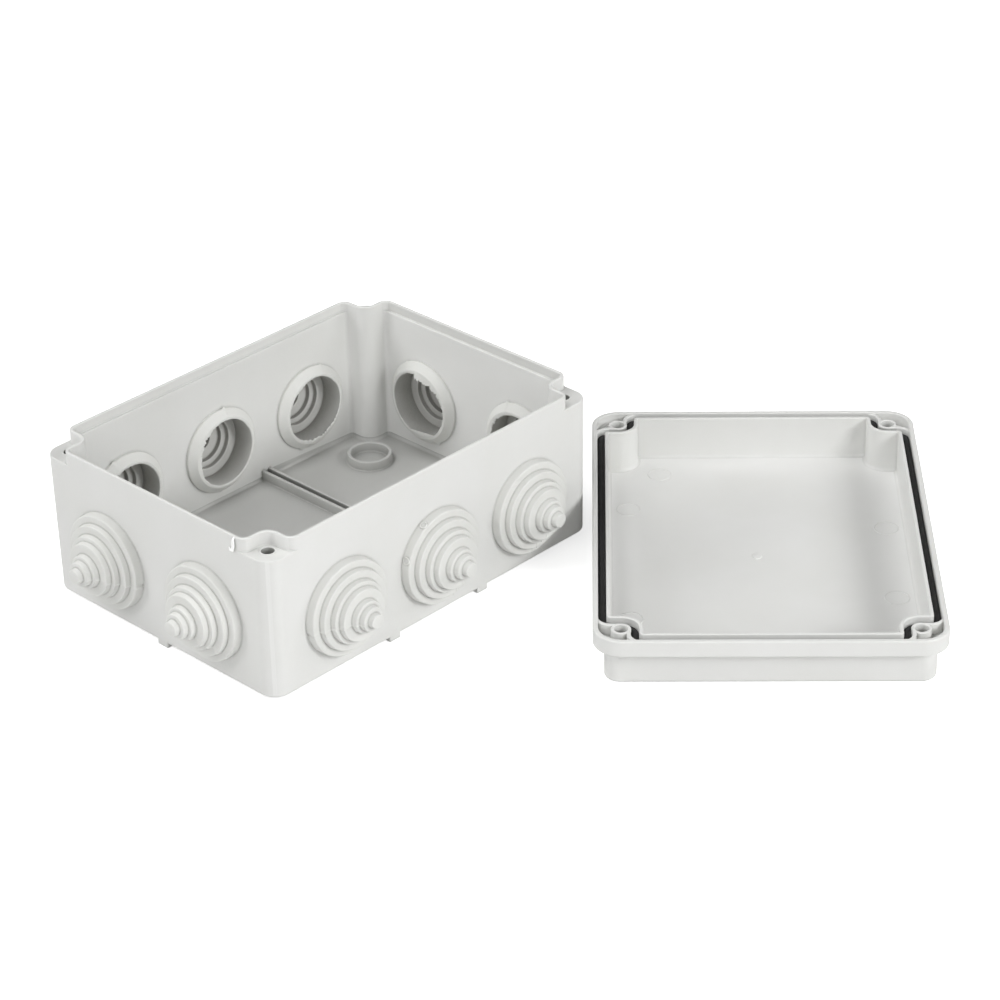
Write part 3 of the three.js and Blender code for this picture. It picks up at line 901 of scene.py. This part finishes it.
def guard_walls():
    """The wall between the groove and each corner pocket, with a rounded top."""
    top, low = COVER_HEIGHT - BOSS_DROP, GROOVE_Z - 0.4
    near, far = SEAL_CLEARANCE - 0.01, SEAL_CLEARANCE - GUARD_WALL
    profile = rounded([(near, low), (near, top, 0.35), (far, top, 0.35), (far, low)], closed=True)
    return skin([outline(seal_corner(inset), z) for inset, z in profile], closed=True)


def boss(x, y):
    top = COVER_HEIGHT - BOSS_DROP
    return turned(rounded([
        (0, GROOVE_Z - 0.6), (BOSS_RADIUS, GROOVE_Z - 0.6), (BOSS_RADIUS, top, 0.35), (0, top),
    ]), x, y)


def boss_hole(x, y):
    """Well for the screw's head from outside, and the clear hole through the boss."""
    top = COVER_HEIGHT - BOSS_DROP
    return turned(rounded([
        (0, -1), (WELL_RADIUS + 0.5, -1), (WELL_RADIUS + 0.5, 0), (WELL_RADIUS, 0, 0.3),
        (WELL_RADIUS, WELL_DEPTH), (BOSS_HOLE, WELL_DEPTH, 0.2), (BOSS_HOLE, top, 0.3),
        (BOSS_HOLE + 0.8, top), (BOSS_HOLE + 0.8, top + 1), (0, top + 1),
    ]), x, y)


def disc_mark(x, y, radius, height, squeeze):
    """A low round witness mark on the tray floor, left by the mould."""
    mesh = turned(rounded([
        (0, COVER_SKIN - 0.3), (radius, COVER_SKIN - 0.3), (radius, COVER_SKIN + height, height * 0.8),
        (0, COVER_SKIN + height),
    ], steps=3), steps=48)
    mesh.transform(Matrix.Translation((x, y, 0)) @ Matrix.Diagonal((1, squeeze, 1, 1)))
    return mesh


def ring_mark(x, y, radius, height):
    return tube(rounded([
        (radius - 0.25, COVER_SKIN - 0.3), (radius - 0.2, COVER_SKIN + height, height * 0.8),
        (radius + 0.2, COVER_SKIN + height, height * 0.8), (radius + 0.25, COVER_SKIN - 0.3),
    ], closed=True, steps=3), x, y, steps=64)


# Centres of the mould marks on the tray floor, in the cover's frame
EJECTOR_MARKS = ((20, -43), (-24.5, -43), (-37, 43), (57, 32), (33, 43))
MARK_RADIUS, MARK_HEIGHT = 4.0, 0.12
SPRUE_MARK = (1.8, 0.9)
SPRUE_RADIUS, SPRUE_HEIGHT, SPRUE_SQUEEZE = 2.0, 0.26, 0.8


def cover_mesh():
    body = combine(cover_shell(), guard_walls(), "UNION")
    body = combine(body, joined([boss(x, y) for x, y in SCREW_PLACES]), "UNION")
    body = combine(body, joined([boss_hole(x, y) for x, y in SCREW_PLACES]), "DIFFERENCE")
    marks = [ring_mark(x, y, MARK_RADIUS, MARK_HEIGHT) for x, y in EJECTOR_MARKS]
    marks.append(disc_mark(*SPRUE_MARK, SPRUE_RADIUS, SPRUE_HEIGHT, SPRUE_SQUEEZE))
    return combine(body, joined(marks), "UNION")


def tray_painted_light_and_shade(at, normal):
    """1 on the tray's floor, where light is painted near the walls, -1 in the pockets round the screws,
    where shade is painted, 0 on everything else.
    """
    if min(math.hypot(at.x - x, at.y - y) for x, y in SCREW_PLACES) < DETOUR_RADIUS:
        return -1
    return normal.z > 0.99 and abs(at.z - COVER_SKIN) < 0.05


# ---- Gasket and screws ----

GASKET_TOP = 1.9
GASKET_SIDE = 0.05


def gasket_mesh():
    """A flat-bottomed cord that fills the groove, with two rounded lobes along its top."""
    near, far = SEAL_CLEARANCE + GASKET_SIDE, ISLAND - GASKET_SIDE
    low, top = GROOVE_Z + 0.05, GROOVE_Z + GASKET_TOP
    profile = rounded([
        (near, low, 0.3), (near, top - 0.25, 0.3), (near + 0.5, top - 0.05, 0.3),
        (near + 0.62, top - 0.45, 0.12), (near + 0.76, top, 0.2),
        (far - 0.76, top, 0.2), (far - 0.62, top - 0.45, 0.12),
        (far - 0.5, top - 0.05, 0.3), (far, top - 0.25, 0.3), (far, low, 0.3),
    ], closed=True)
    return skin([outline(seal_corner(inset), z) for inset, z in profile], closed=True)


THREAD_PITCH, THREAD_DEPTH = 1.25, 0.35
SHANK_RADIUS, SHANK_LENGTH = 1.8, 12.0
HEAD_RADIUS, HEAD_HEIGHT = 3.5, 2.2
RECESS_LENGTH, RECESS_WIDTH, RECESS_DEPTH, RECESS_TAPER = 4.2, 0.9, 1.3, 0.4


def screw_mesh(head_z):
    """A pan-head screw standing on its head: domed head, cross recess, cut thread and blunt point."""
    steps = 48
    angles = np.linspace(0, 2 * math.pi, steps, endpoint=False)
    head_top = head_z + HEAD_HEIGHT
    head = rounded([
        (0, head_z), (HEAD_RADIUS - 1.0, head_z, 0.8), (HEAD_RADIUS, head_z + 0.9, 0.6),
        (HEAD_RADIUS, head_top, 0.2), (SHANK_RADIUS, head_top, 0.15), (SHANK_RADIUS, head_top + 1.0),
    ])
    rings = [circle(r, z, angles) for r, z in head]
    tip = head_top + SHANK_LENGTH
    for z in np.arange(head_top + 1.05, tip - 0.05, THREAD_PITCH / 14):
        turn = (z / THREAD_PITCH - angles / (2 * math.pi)) % 1.0
        ridge = np.clip(1 - np.abs(turn - 0.5) / 0.32, 0, 1)
        fade_in = min((z - head_top - 1.0) / THREAD_PITCH, 1.0)
        taper = min(1.0, 0.45 + 0.55 * (tip - z) / 1.6)
        radius = (SHANK_RADIUS - THREAD_DEPTH + THREAD_DEPTH * ridge * fade_in) * taper
        radius = radius if fade_in >= 1 else radius + THREAD_DEPTH * (1 - fade_in)
        rings.append(np.column_stack([radius * np.cos(angles), radius * np.sin(angles), np.full(steps, z)]))
    rings.append(circle(0.0, tip, angles))
    body = skin(rings)
    blades = []
    for size_x, size_y in ((RECESS_LENGTH, RECESS_WIDTH), (RECESS_WIDTH, RECESS_LENGTH)):
        half = size_x / 2
        end = half - RECESS_TAPER * (size_x > size_y)
        section = [(-half, head_z - 1), (half, head_z - 1),
                   (end, head_z + RECESS_DEPTH), (-end, head_z + RECESS_DEPTH)]
        blades.append(bar(section, -size_y / 2, size_y / 2, "y"))
    cross = combine(blades[0], blades[1], "UNION")
    return combine(body, cross, "DIFFERENCE")


# ---- Put everything together ----

places = {name: entry_place(name) for name in ENTRIES}

body = combine(base_shell(), joined([
    drum(HOLE_RADIUS, -4 * WALL, 3, places[name]) for name in ENTRIES
]), "DIFFERENCE")
rib_offset = (RIB_GAP + RIB_WIDTH) / 2
rib_reach = HALF[1] - WALL + 0.5
body = add_all(body, [
    bar(rib_profile(pair * RIB_PAIR_X + shift), -rib_reach, rib_reach, "y")
    for pair in (-1, 1) for shift in (-rib_offset, rib_offset)
])
ring_places = [(sx * RING_PLACE[0], sy * RING_PLACE[1]) for sx, sy in SIGNS]
body = combine(body, joined([floor_ring(x, y) for x, y in ring_places]), "UNION")
body = combine(body, joined(base_feet()), "UNION")
body = combine(body, joined([socket_rim(x, y) for x, y in SCREW_PLACES] + [burr()]), "UNION")
body = combine(body, joined([screw_socket(x, y) for x, y in SCREW_PLACES]), "DIFFERENCE")
below = [turned([(0, -1), (CORE_RADIUS, -1), (CORE_RADIUS, CORE_DEPTH), (0, CORE_DEPTH)], x, y)
         for x, y in SCREW_PLACES]
below += [turned([(0, -1), (DIMPLE_RADIUS, -1), (DIMPLE_RADIUS, DIMPLE_DEPTH), (0, DIMPLE_DEPTH)], x, y)
          for x, y in ring_places]
body = combine(body, joined(below), "DIFFERENCE")
mark_painted_light_and_shade(body, base_painted_light_and_shade)
finish_piece("base_shell", body, BASE_PLACE, "base", HOUSING, ["enclosure_base"])

for index, name in enumerate(ENTRIES):
    seam = math.radians(SEAMS.get(name, 150 + 17 * (index % 4)))
    flash = math.radians(FLASH.get(name, 72))
    nib = math.radians(NIBS.get(name, 20))
    mesh = cable_entry(index, seam, flash, nib, torn=name == "cable_entry_right_back")
    if name.endswith("middle"):
        mesh = add_all(mesh, [gate_pad(angle) for angle in PAD_ANGLES])
    follow_wall(mesh, places[name])
    mark_painted_light_and_shade(mesh, entry_painted_shade)
    place = Matrix.Translation(places[name].translation * MM) @ places[name].to_3x3().to_4x4()
    finish_piece(name.replace("cable_entry", "entry"), mesh, place, "base", ENTRY, [name])

tray = cover_mesh()
mark_painted_light_and_shade(tray, tray_painted_light_and_shade)
finish_piece("cover_tray", tray, COVER_PLACE, "cover_set", COVER_PLASTIC, ["cover"])
finish_piece("cover_seal", gasket_mesh(), COVER_PLACE, "cover_set", GASKET, ["cover_gasket"])

for number, (name, centre, (low, high)) in enumerate(zip(SCREWS, screw_centres, screw_boxes), 1):
    place = Matrix.Translation(Vector((centre[0], centre[1], 0)) * MM) @ Matrix.Rotation(COVER_TURN, 4, "Z")
    finish_piece(f"captive_screw_{number}", screw_mesh(low[2]), place, f"screw_{number}",
                 STEEL, [name])

# ---- Floor, lights and camera ----

FLOOR_SIZE = 6.0
floor_mesh = bpy.data.meshes.new("studio_floor")
half_floor = FLOOR_SIZE / 2
floor_z = base_low[2] * MM
floor_mesh.from_pydata(
    [(x, y, floor_z) for x, y in ((-half_floor, -half_floor), (half_floor, -half_floor),
                                  (half_floor, half_floor), (-half_floor, half_floor))],
    [], [(0, 1, 2, 3)])
floor_mesh.materials.append(studio_floor())
as_object(floor_mesh, "studio_floor")

world = bpy.data.worlds.new("studio")
world.use_nodes = True
backdrop = world.node_tree.nodes["Background"]
backdrop.inputs["Color"].default_value = (1.0, 1.0, 1.0, 1)
seen = world.node_tree.nodes.new("ShaderNodeLightPath")       # white behind the table, but no light from it
world.node_tree.links.new(seen.outputs["Is Camera Ray"], backdrop.inputs["Strength"])
bpy.context.scene.world = world

middle = Vector(((cad_box[0][0] + cad_box[1][0]) / 2, (cad_box[0][1] + cad_box[1][1]) / 2, 0.02))
SOFTBOX_DISTANCE = 1.3


def softbox(name, direction, size, power):
    """A square area light that faces the object from a direction."""
    data = bpy.data.lights.new(name, "AREA")
    data.shape, data.size, data.energy = "SQUARE", size, power
    light = bpy.data.objects.new(name, data)
    towards = Vector(direction).normalized()
    light.location = middle + towards * SOFTBOX_DISTANCE
    light.rotation_mode = "QUATERNION"
    light.rotation_quaternion = towards.to_track_quat("Z", "Y")
    bpy.context.scene.collection.objects.link(light)


SOFTBOXES = {             # direction from the object, size in metres, power in watts
    "softbox_front": ((-0.62, -0.60, 0.32), 0.4, 3.0),
    "softbox_left": ((-1.0, -0.1, 0.55), 0.4, 1.9),
    "softbox_left_high": ((-1.0, -0.1, 1.6), 0.4, 2.8),
    "softbox_left_back": ((-0.8, 0.6, 0.55), 0.4, 3.4),
    "softbox_right": ((0.1, -1.0, 0.55), 0.4, 9.0),
    "softbox_right_far": ((0.75, -0.7, 0.55), 0.4, 3.6),
    "softbox_back_right": ((1.0, 0.3, 0.6), 0.9, 1.0),
    "softbox_back_left": ((-0.3, 1.0, 0.6), 0.9, 1.9),
    "softbox_back_left_high": ((-0.3, 1.0, 1.5), 0.9, 6.2),
}
for name, (direction, size, power) in SOFTBOXES.items():
    softbox(name, direction, size, power)

CAMERA_AT = Vector((-617.39, -680.52, 545.78)) * MM
CAMERA_YAW, CAMERA_PITCH, CAMERA_ROLL = (math.radians(a) for a in (44.17, 29.84, 1.19))
LENS, SENSOR = 115.67, 36.0

forward = Vector((math.cos(CAMERA_YAW) * math.cos(CAMERA_PITCH),
                  math.sin(CAMERA_YAW) * math.cos(CAMERA_PITCH), -math.sin(CAMERA_PITCH)))
right = forward.cross(Vector((0, 0, 1))).normalized()
down = forward.cross(right)
c, s = math.cos(CAMERA_ROLL), math.sin(CAMERA_ROLL)
right, down = c * right + s * down, -s * right + c * down
camera_data = bpy.data.cameras.new("camera")
camera_data.lens, camera_data.sensor_width = LENS, SENSOR
camera = bpy.data.objects.new("camera", camera_data)
camera.matrix_world = Matrix.Translation(CAMERA_AT) @ Matrix((right, -down, -forward)).transposed().to_4x4()
bpy.context.scene.collection.objects.link(camera)
bpy.context.scene.camera = camera
bpy.context.scene.view_settings.view_transform = "Standard"

bpy.context.view_layer.update()
